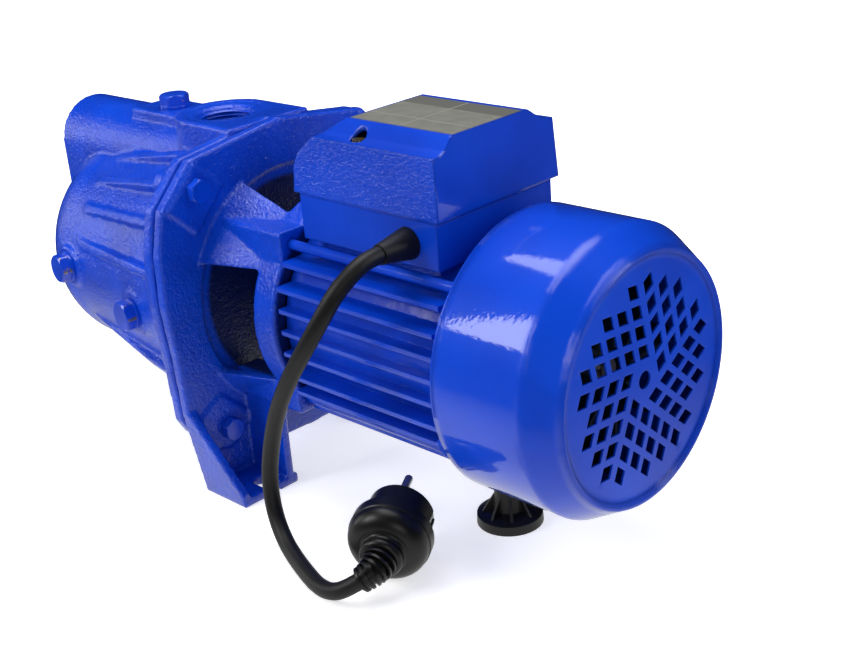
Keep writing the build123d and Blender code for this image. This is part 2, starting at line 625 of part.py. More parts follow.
def box_contents():
    block = box(-76, -62, -30, 30, BOX_FLOOR_Z, BOX_FLOOR_Z + 13)
    for k in range(5):
        block -= rod_z(BOX_FLOOR_Z + 5, BOX_FLOOR_Z + 14, 2.5, -69, -24 + 12 * k)
    save("terminal_block", block)
    can_z = BOX_FLOOR_Z + 18
    save("capacitor", rod_x(-140, -82, 16, 2, can_z))
    clip = ring_x(-114, -104, 17.2, 16, 2, can_z)
    clip += box(-114, -104, -6, 10, BOX_FLOOR_Z, can_z - 15.8) - rod_x(-120, -100, 16.6, 2, can_z)
    save("capacitor_clip", clip)
    save("earth_screw", rod_z(BASE_Z0 + 3, BASE_Z0 + 6.5, 4.5, -120, -36.5))


def cord_gland():
    flange_y = BASE_HALF_W
    length = GLAND_TIP_Y - flange_y
    cone = Pos(GLAND_X, flange_y + length / 2, GLAND_Z) * Rot(-90, 0, 0) * Cone(8.8, 5.4, length)
    neck = Pos(GLAND_X, flange_y - 3, GLAND_Z) * Rot(-90, 0, 0) * Cylinder(6.4, 6)
    nut = Pos(GLAND_X, flange_y - 5.0, GLAND_Z) * Rot(-90, 0, 0) * Cylinder(8.5, 4)
    save("cord_gland", cone + neck + nut)


# ---------------------------------------------------------------- cord and plug
CORD_ROUTE = [
    (-127, 65.5, 177), (-127, 74.5, 177), (-126, 84.5, 172.5), (-122.5, 93.5, 164),
    (-116.5, 99.5, 150.5), (-103.5, 102, 131.5), (-87, 101, 110.5), (-70, 98, 86.5),
    (-57, 95, 60), (-51.5, 95, 38), (-57, 98.5, 19.5), (-70, 103.5, 8.5),
    (-85.5, 109, 5.2), (-100.5, 114.5, 5), (-114, 119, 5.3), (-126, 120.5, 7),
    (-134.5, 117.8, 10.8), (-140.4, 112, 15.6),
]


def bend_radii(route):
    """Each arc takes 0.45 of the shorter run beside its corner."""
    radii = []
    for a, b, c in zip(route, route[1:], route[2:]):
        before = Vector(*b) - Vector(*a)
        after = Vector(*c) - Vector(*b)
        turn = before.get_angle(after)
        radii.append(0.45 * min(before.length, after.length) / tan(radians(turn / 2)))
    return radii


def power_cord():
    radii = bend_radii(CORD_ROUTE)
    path = FilletPolyline(*CORD_ROUTE, radius=radii)
    start = Plane(origin=path @ 0, z_dir=path % 0)
    tube = sweep(start * Circle(CORD_R), path=path)
    section = pi * CORD_R ** 2
    print("cord radii", [round(r) for r in radii])
    print("cord length", round(path.length, 1), "volume / (section x length)",
          round(tube.volume / (section * path.length), 4))
    save("power_cord", tube)


def plug_relief(end, along, heading):
    """Bent, ringed strain relief from the cord's end, and the point where it meets the plug."""
    turn = along.get_angle(heading)
    reach = RELIEF_BEND_R * tan(radians(turn / 2))
    corner = end + along * reach
    back = corner + heading * reach
    bow = (end + back) * 0.5 + (corner - (end + back) * 0.5) * tan(radians(turn / 4)) / tan(radians(turn / 2))
    path = ThreePointArc(end, bow, back)
    relief = sweep(Plane(origin=end, z_dir=along) * Circle(6.2), path=path)
    for k in range(RELIEF_RINGS):
        place = (k + 0.2) / RELIEF_RINGS
        ring = Plane(origin=path @ place, z_dir=path % place)
        relief += ring * Pos(0, 0, 0.8) * Cylinder(7.2 + 0.5 * k, 1.6)
    return relief, back


def plug_profile():
    """Half section of the plug's body, from its neck to its mating face: (radius, height)."""
    outline = [
        Line((0, 0), (9.6, 0)),
        ThreePointArc((9.6, 0), (11.6, 1.5), (11.8, 4.0)),
        ThreePointArc((11.8, 4.0), (12.2, 6.4), (14.4, 7.2)),
        ThreePointArc((14.4, 7.2), (20.5, 11.0), (22.4, 17.5)),
        Line((22.4, 17.5), (PLUG_FLANGE_R, 18.2)),
        Line((PLUG_FLANGE_R, 18.2), (PLUG_FLANGE_R, 25.0)),
        Line((PLUG_FLANGE_R, 25.0), (PLUG_INSERT_R + 0.4, 25.6)),
        Line((PLUG_INSERT_R + 0.4, 25.6), (PLUG_INSERT_R, 42.0)),
        Line((PLUG_INSERT_R, 42.0), (PLUG_INSERT_R - 1.2, 43.2)),
        Line((PLUG_INSERT_R - 1.2, 43.2), (0, 43.2)),
        Line((0, 43.2), (0, 0)),
    ]
    return revolve(Plane.XZ * make_face(outline), axis=Axis.Z)


def plug():
    end = Vector(*CORD_ROUTE[-1])
    along = (end - Vector(*CORD_ROUTE[-2])).normalized()
    heading = Vector(*PLUG_HEADING).normalized()
    relief, back = plug_relief(end, along, heading)
    place = Plane(origin=back, z_dir=heading)
    body = plug_profile()
    clips = []
    pins = []
    for side in SIDES:
        body -= Pos(side * 18.4, 0, 35) * Box(3.6, 5.2, 20)
        clips.append(place * Pos(side * 17.2, 0, 34.4) * Box(1.2, 4.6, 17))
        pin = Pos(0, side * PIN_OFFSET, 52.6) * Cylinder(2.4, 18.8)
        pins.append(place * fillet(pin.faces().sort_by(Axis.Z)[-1].edges(), 1.8))
    save("plug_body", place * body + relief)
    save("plug_pins", *pins)
    save("plug_earth_clips", *clips)
    print("lowest point of the plug", round((place * body).bounding_box().min.Z, 2))


def main():
    os.makedirs("parts", exist_ok=True)
    motor_housing()
    stator()
    rotor()
    bearing("front", FRONT_BEARING_X)
    bearing("rear", REAR_BEARING_X)
    rear_end_shield()
    tie_rods()
    fan()
    fan_cover()
    rubber_foot()
    motor_bracket()
    casing_bolts()
    casing_gasket()
    pump_casing()
    screwed_plugs()
    mechanical_seal()
    impeller()
    ejector()
    terminal_box()
    box_contents()
    cord_gland()
    power_cord()
    plug()


main()
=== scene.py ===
# %% [markdown]
# # Shallow well jet pump
# The machine is a cast iron pump end bolted to an electric motor. The solid model already
# gives every part its size and place, so this lesson only deals with what the eye sees:
# rounded castings, paint, rubber, a lead, light and a camera.

# %% Load the solid model
from math import cos, pi, radians, sin

import bmesh
import bpy
from mathutils import Matrix, Vector


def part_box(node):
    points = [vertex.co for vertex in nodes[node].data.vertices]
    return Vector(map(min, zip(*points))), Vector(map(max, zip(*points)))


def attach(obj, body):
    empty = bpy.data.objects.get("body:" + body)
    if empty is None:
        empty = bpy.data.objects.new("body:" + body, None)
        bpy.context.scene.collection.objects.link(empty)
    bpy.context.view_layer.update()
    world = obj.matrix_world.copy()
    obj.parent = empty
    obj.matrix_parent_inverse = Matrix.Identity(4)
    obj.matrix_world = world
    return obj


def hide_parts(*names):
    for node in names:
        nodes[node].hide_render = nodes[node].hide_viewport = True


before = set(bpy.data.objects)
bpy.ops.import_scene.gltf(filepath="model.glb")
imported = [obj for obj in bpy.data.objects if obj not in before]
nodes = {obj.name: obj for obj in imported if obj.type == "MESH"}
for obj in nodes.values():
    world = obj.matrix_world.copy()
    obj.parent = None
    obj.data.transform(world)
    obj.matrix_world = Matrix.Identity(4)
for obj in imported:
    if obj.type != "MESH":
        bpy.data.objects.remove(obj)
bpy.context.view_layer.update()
MM = 0.001
SHAFT_Z = 0.113

# %% [markdown]
# ## Camera
# The pump is seen from above its fan end, a little below eye level for a table top. The
# camera leans a few degrees to one side, so the picture is not quite level. Building the
# camera's axes by hand from one direction and one lean angle keeps that lean exact.

# %% Camera
CAMERA_PLACE = Vector((-0.5985, 0.5002, 0.4034))
CAMERA_LOOKS = Vector((0.657, -0.650, -0.382)).normalized()
CAMERA_LEAN = radians(4.54)
CAMERA_LENS = 56.97


def leaning_axes(looks, lean):
    """Right, up and back of a camera that looks along a line and leans to the right."""
    level_right = looks.cross(Vector((0, 0, 1))).normalized()
    level_up = level_right.cross(looks)
    up = level_up * cos(lean) + level_right * sin(lean)
    right = looks.cross(up)
    return right, up, -looks


camera = bpy.data.objects.new("camera", bpy.data.cameras.new("camera"))
bpy.context.scene.collection.objects.link(camera)
axes = Matrix(leaning_axes(CAMERA_LOOKS, CAMERA_LEAN)).transposed()
camera.matrix_world = Matrix.Translation(CAMERA_PLACE) @ axes.to_4x4()
camera.data.sensor_width = 36
camera.data.lens = CAMERA_LENS
bpy.context.scene.camera = camera
print("camera stands", round(CAMERA_PLACE.length, 2), "m from the feet")

# %% [markdown]
# ## Mains lead
# The lead is 9.4 mm rubber cable. It leaves the gland on the terminal box, falls past the
# fins, bends round on the floor and ends in its plug. A NURBS curve suits it, because the
# control points pull a springy line round without corners, as a real cable bends.

# %% Lead
LEAD_DIAMETER = 9.4 * MM
LEAD_ROUTE = [
    (-127, 65.5, 177), (-127, 74.5, 177), (-126, 84.5, 172.5), (-122.5, 93.5, 164),
    (-116.5, 99.5, 150.5), (-103.5, 102, 131.5), (-87, 101, 110.5), (-70, 98, 86.5),
    (-57, 95, 60), (-51.5, 95, 38), (-57, 98.5, 19.5), (-70, 103.5, 8.5),
    (-85.5, 109, 5.2), (-100.5, 114.5, 5), (-114, 119, 5.3), (-126, 120.5, 7),
    (-134.5, 117.8, 10.8), (-140.4, 112, 15.6),
]
route = [Vector(point) * MM for point in LEAD_ROUTE]


def smooth_curve(name, points, radius):
    """Round tube along an open NURBS line."""
    curve = bpy.data.curves.new(name, "CURVE")
    curve.dimensions = "3D"
    spline = curve.splines.new("NURBS")
    spline.points.add(len(points) - 1)
    for place, point in zip(spline.points, points):
        place.co = (*point, 1)
    spline.order_u = 3
    spline.use_endpoint_u = True
    curve.resolution_u = 12
    curve.bevel_depth = radius
    curve.bevel_resolution = 6
    curve.use_fill_caps = True
    piece = bpy.data.objects.new(name, curve)
    bpy.context.scene.collection.objects.link(piece)
    return piece


lead = smooth_curve("mains_lead", route, LEAD_DIAMETER / 2)
print("lead has", len(route), "control points")

# %% [markdown]
# ## Small helpers for finishes
# Colours are written as the hex values a painter would read off a screen, and one function
# turns them to the linear numbers that light adds up in. One more function adds a node with
# its settings and its links. Patterns read the object's own coordinates, so they stay on the
# metal when the view moves, and `per_mm` turns a real size into a noise scale. `soft_edges`
# bends the light near an edge as a small rounding would, without changing the shape.

# %% Finish helpers
def linear(hex_colour):
    """Linear red, green, blue and alpha of an sRGB hex colour."""
    parts = [int(hex_colour[i:i + 2], 16) / 255 for i in (1, 3, 5)]
    return (*[c / 12.92 if c <= 0.04045 else ((c + 0.055) / 1.055) ** 2.4 for c in parts], 1)


def add(tree, kind, inputs=None, **settings):
    """New node of a kind; each input is set to a value or linked to a socket."""
    node = tree.nodes.new(kind)
    for name, value in settings.items():
        setattr(node, name, value)
    for name, value in (inputs or {}).items():
        if isinstance(value, bpy.types.NodeSocket):
            tree.links.new(value, node.inputs[name])
        else:
            node.inputs[name].default_value = value
    return node


def per_mm(size):
    """Texture scale that makes a pattern this many millimetres across."""
    return 1 / (size * MM)


def new_finish(name):
    """Material with its shader and the piece's own coordinates."""
    material = bpy.data.materials.new(name)
    material.use_nodes = True
    tree = material.node_tree
    tree.nodes.clear()
    shader = add(tree, "ShaderNodeBsdfPrincipled")
    add(tree, "ShaderNodeOutputMaterial", {"Surface": shader.outputs["BSDF"]})
    place = add(tree, "ShaderNodeTexCoord").outputs["Object"]
    return material, tree, shader, place


def two_tones(tree, place, size, first, second):
    """Colour that drifts between two tones in patches of a real size."""
    noise = add(tree, "ShaderNodeTexNoise", {"Vector": place, "Scale": per_mm(size), "Detail": 3.0})
    ramp = add(tree, "ShaderNodeValToRGB", {"Fac": noise.outputs["Fac"]})
    ramp.color_ramp.elements[0].position = 0.35
    ramp.color_ramp.elements[0].color = linear(first)
    ramp.color_ramp.elements[1].position = 0.65
    ramp.color_ramp.elements[1].color = linear(second)
    return ramp.outputs["Color"]


def relief(tree, height, depth, strength, under=None):
    """Bump of a real depth in millimetres, laid over another bump if there is one."""
    inputs = {"Height": height, "Distance": depth * MM, "Strength": strength}
    if under is not None:
        inputs["Normal"] = under
    return add(tree, "ShaderNodeBump", inputs).outputs["Normal"]


def soft_edges(tree, radius):
    """Surface direction with every edge rounded by a radius in millimetres."""
    return add(tree, "ShaderNodeBevel", {"Radius": radius * MM}, samples=6).outputs["Normal"]


print("0.8 mm grit has scale", per_mm(0.8))

# %% [markdown]
# ## Enamel over a casting
# The pump end, the bracket and the motor body are sand and die castings sprayed with one
# thick coat of blue gloss enamel. The paint fills the finest grit but follows the waviness
# of the sand, so the shine breaks up into small wobbling flecks. Two bumps give that: slow
# waves of about 4 mm and grit of about 1.6 mm, both under a clear, glossy coat. Inside the
# bracket's drum the colour carries painted shade, a dark blue near the shaft's line.

# %% Cast enamel
BLUE = "#0046D6"
BLUE_DEEP = "#003CC2"


def cast_enamel(name, waves, grit, wave_depth, grit_depth, edge):
    material, tree, shader, place = new_finish(name)
    slow = add(tree, "ShaderNodeTexNoise", {"Vector": place, "Scale": per_mm(waves), "Detail": 2.0})
    fine = add(tree, "ShaderNodeTexNoise", {"Vector": place, "Scale": per_mm(grit), "Detail": 4.0})
    bumps = relief(tree, slow.outputs["Fac"], wave_depth, 0.6, soft_edges(tree, edge))
    bumps = relief(tree, fine.outputs["Fac"], grit_depth, 0.7, bumps)
    tree.links.new(two_tones(tree, place, 30, BLUE_DEEP, BLUE), shader.inputs["Base Color"])
    tree.links.new(bumps, shader.inputs["Normal"])
    tree.links.new(bumps, shader.inputs["Coat Normal"])
    shader.inputs["Roughness"].default_value = 0.4
    shader.inputs["Specular IOR Level"].default_value = 0.12
    shader.inputs["Coat Weight"].default_value = 1.0
    shader.inputs["Coat Roughness"].default_value = 0.1
    return material


def paint_shade_inside(material, reach, low, high):
    """Darken the colour near the shaft's line between two ends along X: painted shade inside the drum."""
    tree = material.node_tree
    shader = next(n for n in tree.nodes if n.type == "BSDF_PRINCIPLED")
    place = next(n for n in tree.nodes if n.type == "TEX_COORD").outputs["Object"]
    paint = shader.inputs["Base Color"].links[0].from_socket
    centred = add(tree, "ShaderNodeMapping", {"Vector": place, "Location": (0, 0, -SHAFT_Z)})
    parts = add(tree, "ShaderNodeSeparateXYZ", {"Vector": centred.outputs["Vector"]}).outputs
    flat = add(tree, "ShaderNodeCombineXYZ", {"Y": parts["Y"], "Z": parts["Z"]})
    radius = add(tree, "ShaderNodeVectorMath", {0: flat.outputs["Vector"]}, operation="LENGTH")
    inside = add(tree, "ShaderNodeMapRange", {"Value": radius.outputs["Value"], "From Min": reach * MM,
                                              "From Max": (reach - 3) * MM})
    middle_x = add(tree, "ShaderNodeMath", {0: parts["X"], 1: (low + high) / 2 * MM,
                                            2: (high - low) / 2 * MM}, operation="COMPARE")
    both = add(tree, "ShaderNodeMath", {0: inside.outputs["Result"], 1: middle_x.outputs["Value"]},
               operation="MULTIPLY")
    # painted shade: dark blue mixed into the paint near the shaft's line, inside the drum
    colour = add(tree, "ShaderNodeMix", {"Factor": both.outputs["Value"], "A": paint,
                                         "B": linear("#041650")}, data_type="RGBA")
    tree.links.new(colour.outputs["Result"], shader.inputs["Base Color"])
    return material


DRUM_REACH = 67
DRUM_ENDS = (-40, 28)
sand_cast = cast_enamel("blue_enamel_on_sand_casting", 4, 1.6, 0.6, 0.9, 0.3)
bracket_cast = cast_enamel("blue_enamel_with_painted_drum_shade", 4, 1.6, 0.7, 0.9, 0.3)
# the bracket's drum gets painted shade in its colour
bracket_painted_shade = paint_shade_inside(bracket_cast, DRUM_REACH, *DRUM_ENDS)
die_cast = cast_enamel("blue_enamel_on_die_casting", 8, 1.2, 0.4, 0.12, 0.9)
print("cast enamel finishes:", sand_cast.name, bracket_painted_shade.name, die_cast.name)

# %% [markdown]
# ## Enamel on sheet steel and the moulded box
# The fan cover is drawn from smooth sheet, so its paint shows clear reflections with only a
# faint orange peel. The press leaves it well rounded at the rim, but the grille's bars are
# narrow, so the soft edges widen only beyond the grille. The terminal box is smooth too, but
# one long side of its lid has a leathery grain, switched on by the way the surface faces.

# %% Sheet enamel and grained lid
def sheet_enamel(name, peel_depth, edge):
    material, tree, shader, place = new_finish(name)
    peel = add(tree, "ShaderNodeTexNoise", {"Vector": place, "Scale": per_mm(2.2), "Detail": 1.0})
    bumps = relief(tree, peel.outputs["Fac"], peel_depth, 0.4, soft_edges(tree, edge))
    tree.links.new(two_tones(tree, place, 60, BLUE_DEEP, BLUE), shader.inputs["Base Color"])
    tree.links.new(bumps, shader.inputs["Normal"])
    tree.links.new(bumps, shader.inputs["Coat Normal"])
    shader.inputs["Roughness"].default_value = 0.4
    shader.inputs["Specular IOR Level"].default_value = 0.12
    shader.inputs["Coat Weight"].default_value = 1.0
    shader.inputs["Coat Roughness"].default_value = 0.04
    return material


def grained_lid(name):
    material = sheet_enamel(name, 0.02, 2.0)
    tree = material.node_tree
    shader = next(n for n in tree.nodes if n.type == "BSDF_PRINCIPLED")
    coordinates = next(n for n in tree.nodes if n.type == "TEX_COORD")
    stretched = add(tree, "ShaderNodeMapping", {"Vector": coordinates.outputs["Object"],
                                                "Scale": (0.55, 1.0, 1.0)})
    grain = add(tree, "ShaderNodeTexNoise", {"Vector": stretched.outputs["Vector"],
                                             "Scale": per_mm(1.5), "Detail": 3.0, "Distortion": 0.8})
    facing = add(tree, "ShaderNodeSeparateXYZ", {"Vector": coordinates.outputs["Normal"]})
    mask = add(tree, "ShaderNodeMapRange", {"Value": facing.outputs["Y"], "From Min": 0.75,
                                            "From Max": 0.97})
    height = add(tree, "ShaderNodeMath", {0: grain.outputs["Fac"], 1: mask.outputs["Result"]},
                 operation="MULTIPLY")
    bumps = relief(tree, height.outputs["Value"], 0.75, 0.9, soft_edges(tree, 2.0))
    tree.links.new(bumps, shader.inputs["Normal"])
    tree.links.new(bumps, shader.inputs["Coat Normal"])
    return material


def pressed_rim(material, plain, rounded, start):
    """Widen the soft edges beyond a distance from the shaft's line, all in millimetres."""
    tree = material.node_tree
    edges = next(n for n in tree.nodes if n.type == "BEVEL")
    place = next(n for n in tree.nodes if n.type == "TEX_COORD").outputs["Object"]
    centred = add(tree, "ShaderNodeMapping", {"Vector": place, "Location": (0, 0, -SHAFT_Z),
                                              "Scale": (0, 1, 1)})
    reach = add(tree, "ShaderNodeVectorMath", {0: centred.outputs["Vector"]}, operation="LENGTH")
    width = add(tree, "ShaderNodeMapRange", {"Value": reach.outputs["Value"], "From Min": start * MM,
                                             "From Max": (start + 3) * MM, "To Min": plain * MM,
                                             "To Max": rounded * MM})
    tree.links.new(width.outputs["Result"], edges.inputs["Radius"])
    edges.samples = 8
    return material


GRILLE_REACH = 55
GRILLE_EDGE = 0.5
RIM_EDGE = 6.0
cover_enamel = sheet_enamel("blue_enamel_on_sheet_steel", 0.08, 1.0)
smooth_enamel = pressed_rim(cover_enamel, GRILLE_EDGE, RIM_EDGE, GRILLE_REACH)
box_enamel = sheet_enamel("blue_enamel_on_terminal_box", 0.05, 2.0)
lid_enamel = grained_lid("blue_enamel_on_grained_lid")
print("smooth finishes:", smooth_enamel.name, box_enamel.name, lid_enamel.name)

# %% [markdown]
# ## Rubber and moulded plastic
# The lead, gland and foot are black rubber: it looks matt because its skin has a fine
# texture from the mould. The plug is harder, so its edges catch a soft shine.

# %% Rubber and plastics
def moulded(name, first, second, roughness, grit, depth):
    material, tree, shader, place = new_finish(name)
    noise = add(tree, "ShaderNodeTexNoise", {"Vector": place, "Scale": per_mm(grit), "Detail": 3.0})
    tree.links.new(two_tones(tree, place, 15, first, second), shader.inputs["Base Color"])
    bumps = relief(tree, noise.outputs["Fac"], depth, 0.5, soft_edges(tree, 0.5))
    tree.links.new(bumps, shader.inputs["Normal"])
    shader.inputs["Roughness"].default_value = roughness
    shader.inputs["Specular IOR Level"].default_value = 0.4
    return material


lead_rubber = moulded("black_rubber_sheath", "#0B0B0C", "#121213", 0.5, 0.7, 0.05)
plug_rubber = moulded("black_hard_rubber", "#0A0A0B", "#101011", 0.36, 0.9, 0.04)
foot_rubber = moulded("black_soft_rubber", "#0C0C0D", "#151516", 0.45, 1.2, 0.08)
gasket_sheet = moulded("dark_gasket_sheet", "#15171A", "#202328", 0.7, 0.8, 0.06)
fan_plastic = moulded("dark_moulded_polypropylene", "#0A1A2C", "#10263C", 0.45, 1.0, 0.04)
pale_plastic = moulded("pale_moulded_acetal", "#D8D8D0", "#E4E4DE", 0.4, 1.0, 0.03)
grey_plastic = moulded("grey_moulded_can", "#7C8086", "#8B8F95", 0.45, 1.0, 0.03)
seal_ceramic = moulded("lapped_ceramic", "#E8E4DA", "#F1EEE6", 0.25, 0.6, 0.01)
print("moulded finishes ready")

# %% [markdown]
# ## Bare metals
# Turned steel has rings too fine to see, so a little roughness drift is enough. The lamination
# stack shows stripes a millimetre apart, twice the real spacing so that they show. The windings
# are lacquered copper, and the lid screws are yellow zinc plate.

# %% Metals
def bare_metal(name, first, second, roughness, mottle):
    material, tree, shader, place = new_finish(name)
    noise = add(tree, "ShaderNodeTexNoise", {"Vector": place, "Scale": per_mm(mottle), "Detail": 4.0})
    rough = add(tree, "ShaderNodeMapRange", {"Value": noise.outputs["Fac"], "To Min": roughness * 0.7,
                                             "To Max": roughness * 1.3})
    tree.links.new(two_tones(tree, place, mottle * 2, first, second), shader.inputs["Base Color"])
    tree.links.new(rough.outputs["Result"], shader.inputs["Roughness"])
    tree.links.new(relief(tree, noise.outputs["Fac"], 0.03, 0.3), shader.inputs["Normal"])
    shader.inputs["Metallic"].default_value = 1.0
    return material


def laminated(name):
    material = bare_metal(name, "#5E6064", "#6C6E72", 0.45, 3)
    tree = material.node_tree
    shader = next(n for n in tree.nodes if n.type == "BSDF_PRINCIPLED")
    place = next(n for n in tree.nodes if n.type == "TEX_COORD").outputs["Object"]
    stripes = add(tree, "ShaderNodeTexWave", {"Vector": place, "Scale": per_mm(1.0) / 20},
                  bands_direction="X")
    tree.links.new(relief(tree, stripes.outputs["Fac"], 0.2, 0.6), shader.inputs["Normal"])
    return material


turned_steel = bare_metal("turned_steel", "#9A9CA0", "#B0B2B6", 0.28, 4)
cast_aluminium = bare_metal("die_cast_aluminium", "#A0A3A8", "#B4B7BC", 0.4, 3)
brass = bare_metal("turned_brass", "#B08D3C", "#C9A650", 0.3, 3)
yellow_zinc = bare_metal("yellow_zinc_plate", "#C9B45C", "#B59A45", 0.3, 1.5)
copper_wire = bare_metal("lacquered_copper", "#8E4524", "#A85A30", 0.35, 1.2)
lamination = laminated("electrical_steel_sheets")
print("metal finishes ready")

# %% [markdown]
# ## Chipped paint on the hexagon plugs
# The brass plugs were painted with the pump and then turned with a spanner, so the enamel is
# gone from the corners. The corners are the points furthest from the plug's axis, so the
# distance from that axis, broken up by noise, says where brass shows.

# %% Chipped enamel
def chipped_enamel(name, centre, axis):
    material, tree, shader, place = new_finish(name)
    local = add(tree, "ShaderNodeMapping", {"Vector": place, "Location": [-c for c in centre]})
    across = add(tree, "ShaderNodeVectorMath", {0: local.outputs["Vector"], 1: axis},
                 operation="CROSS_PRODUCT")
    reach = add(tree, "ShaderNodeVectorMath", {0: across.outputs["Vector"]}, operation="LENGTH")
    noise = add(tree, "ShaderNodeTexNoise", {"Vector": place, "Scale": per_mm(2.5), "Detail": 5.0})
    worn = add(tree, "ShaderNodeMath", {0: noise.outputs["Fac"], 1: 3.0 * MM, 2: reach.outputs["Value"]},
               operation="MULTIPLY_ADD")
    mask = add(tree, "ShaderNodeMapRange", {"Value": worn.outputs["Value"], "From Min": 11.3 * MM,
                                            "From Max": 11.7 * MM})
    paint = two_tones(tree, place, 12, BLUE_DEEP, BLUE)
    colour = add(tree, "ShaderNodeMix", {"Factor": mask.outputs["Result"], "A": paint,
                                         "B": linear("#B39A5A")}, data_type="RGBA")
    tree.links.new(colour.outputs["Result"], shader.inputs["Base Color"])
    tree.links.new(mask.outputs["Result"], shader.inputs["Metallic"])
    tree.links.new(relief(tree, noise.outputs["Fac"], 0.15, 0.5), shader.inputs["Normal"])
    shader.inputs["Roughness"].default_value = 0.32
    shader.inputs["Coat Weight"].default_value = 0.6
    shader.inputs["Coat Roughness"].default_value = 0.12
    return material


def middle(low, high):
    return (Vector(low) + Vector(high)) / 2


PLUG_AXES = {"priming": (0, 0, 1), "vacuum_gauge": (0.125, 0.992, 0), "pressure_gauge": (0.125, 0.992, 0)}
plug_finishes = {}
for place_name, axis in PLUG_AXES.items():
    node = f"{place_name}_plug"
    centre = middle(*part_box(node))
    plug_finishes[node] = chipped_enamel(f"chipped_enamel_on_{node}", centre, axis)
print("chipped plugs:", list(plug_finishes))

# %% [markdown]
# ## Plate on the lid
# The lid carries a dull grey printed foil. Here it stays blank: only a darker band and a few
# ruled lines divide it, as on any data plate before it is filled in.

# %% Blank plate
def ruled_foil(name, low, high):
    material, tree, shader, place = new_finish(name)
    size = Vector(high) - Vector(low)
    local = add(tree, "ShaderNodeMapping", {"Vector": place, "Location": (-low[0], -low[1], 0)})
    parts = add(tree, "ShaderNodeSeparateXYZ", {"Vector": local.outputs["Vector"]})
    band = add(tree, "ShaderNodeMapRange", {"Value": parts.outputs["Y"], "From Min": size.y * 0.27,
                                            "From Max": size.y * 0.275, "To Min": 1.0, "To Max": 0.0})
    rule_x = add(tree, "ShaderNodeMath", {0: parts.outputs["X"], 1: size.x * 0.5, 2: 0.35 * MM},
                 operation="COMPARE")
    rule_y = add(tree, "ShaderNodeMath", {0: parts.outputs["Y"], 1: size.y * 0.72, 2: 0.3 * MM},
                 operation="COMPARE")
    rules = add(tree, "ShaderNodeMath", {0: rule_x.outputs["Value"], 1: rule_y.outputs["Value"]},
                operation="MAXIMUM")
    ground = two_tones(tree, place, 8, "#80807A", "#8A8A83")
    banded = add(tree, "ShaderNodeMix", {"Factor": band.outputs["Result"], "A": ground,
                                         "B": linear("#6C6C68")}, data_type="RGBA")
    ruled = add(tree, "ShaderNodeMix", {"Factor": rules.outputs["Value"], "A": banded.outputs["Result"],
                                        "B": linear("#A6A69F")}, data_type="RGBA")
    tree.links.new(ruled.outputs["Result"], shader.inputs["Base Color"])
    shader.inputs["Roughness"].default_value = 0.42
    shader.inputs["Metallic"].default_value = 0.25
    return material


blank_foil = ruled_foil("blank_grey_foil", *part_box("nameplate"))

# %% [markdown]
# ## Give each part its finish
# The solid model's own parts keep their shape and take a finish from this list.

# %% Finishes by part
FINISH_OF = {
    "motor_housing": die_cast, "casing_bolts": die_cast, "tie_rods": die_cast,
    "fan_cover": smooth_enamel, "terminal_box_base": box_enamel,
    "terminal_lid": lid_enamel, "pump_casing": sand_cast, "motor_bracket": bracket_painted_shade,
    "rear_end_shield": die_cast, "nameplate": blank_foil, "lid_screws": yellow_zinc,
    "earth_screw": brass, "rubber_foot": foot_rubber, "foot_stud": turned_steel,
    "cord_gland": lead_rubber, "power_cord": lead_rubber, "plug_body": plug_rubber,
    "plug_pins": turned_steel, "plug_earth_clips": turned_steel, "slinger": foot_rubber,
    "fan": fan_plastic, "fan_circlip": turned_steel, "shaft": turned_steel,
    "rotor_core": cast_aluminium, "stator_core": lamination, "stator_windings": copper_wire,
    "seal_head": seal_ceramic, "seal_seat": seal_ceramic, "seal_spring": turned_steel,
    "impeller": brass, "impeller_nut": brass, "diffuser": fan_plastic, "venturi_tube": pale_plastic,
    "venturi_ring": gasket_sheet, "jet_nozzle": pale_plastic, "terminal_block": pale_plastic,
    "capacitor": grey_plastic, "capacitor_clip": turned_steel, "box_gasket": box_enamel,
    "casing_gasket": gasket_sheet, "wave_washer": turned_steel,
}
FINISH_OF.update(plug_finishes)
for name, part in nodes.items():
    if name.endswith("_washer") and name not in FINISH_OF:
        FINISH_OF[name] = die_cast
    if "_bearing_" in name:
        FINISH_OF[name] = turned_steel
    part.data.materials.clear()
    part.data.materials.append(FINISH_OF[name])
lead.data.materials.append(lead_rubber)
print(len(nodes), "parts finished")

# %% [markdown]
# ## Soft edges for the castings
# Foundry patterns have rounded corners everywhere, or the sand would break. The solid model
# has sharp ones. A voxel remesh turns a copy of the part into an even skin, smoothing then
# pulls every edge and inside corner round by about a millimetre, and the skin is thinned so
# that flat areas don't carry triangles they have no use for.

# %% Rounded castings
def plain_copy(name, node):
    """Copy of a part's mesh as one closed skin, ready for modifiers."""
    mesh = nodes[node].data.copy()
    skin = bmesh.new()
    skin.from_mesh(mesh)
    bmesh.ops.remove_doubles(skin, verts=skin.verts, dist=0.005 * MM)
    skin.to_mesh(mesh)
    skin.free()
    mesh.name = name
    piece = bpy.data.objects.new(name, mesh)
    bpy.context.scene.collection.objects.link(piece)
    return piece


def settle(piece):
    """Turn a piece's modifiers into its mesh."""
    depsgraph = bpy.context.evaluated_depsgraph_get()
    mesh = bpy.data.meshes.new_from_object(piece.evaluated_get(depsgraph))
    piece.modifiers.clear()
    piece.data = mesh
    return piece


def rounded_casting(name, node, voxel, passes, kept):
    piece = plain_copy(name, node)
    remesh = piece.modifiers.new("skin", "REMESH")
    remesh.mode = "VOXEL"
    remesh.voxel_size = voxel * MM
    soften = piece.modifiers.new("soften", "SMOOTH")
    soften.factor = 0.5
    soften.iterations = passes
    thin = piece.modifiers.new("thin", "DECIMATE")
    thin.ratio = kept
    settle(piece)
    piece.data.materials.clear()
    piece.data.materials.append(FINISH_OF[node])
    piece.data.shade_smooth()
    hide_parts(node)
    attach(piece, "frame")
    piece.data.calc_loop_triangles()
    print(name, "has", len(piece.data.loop_triangles), "triangles")
    return piece


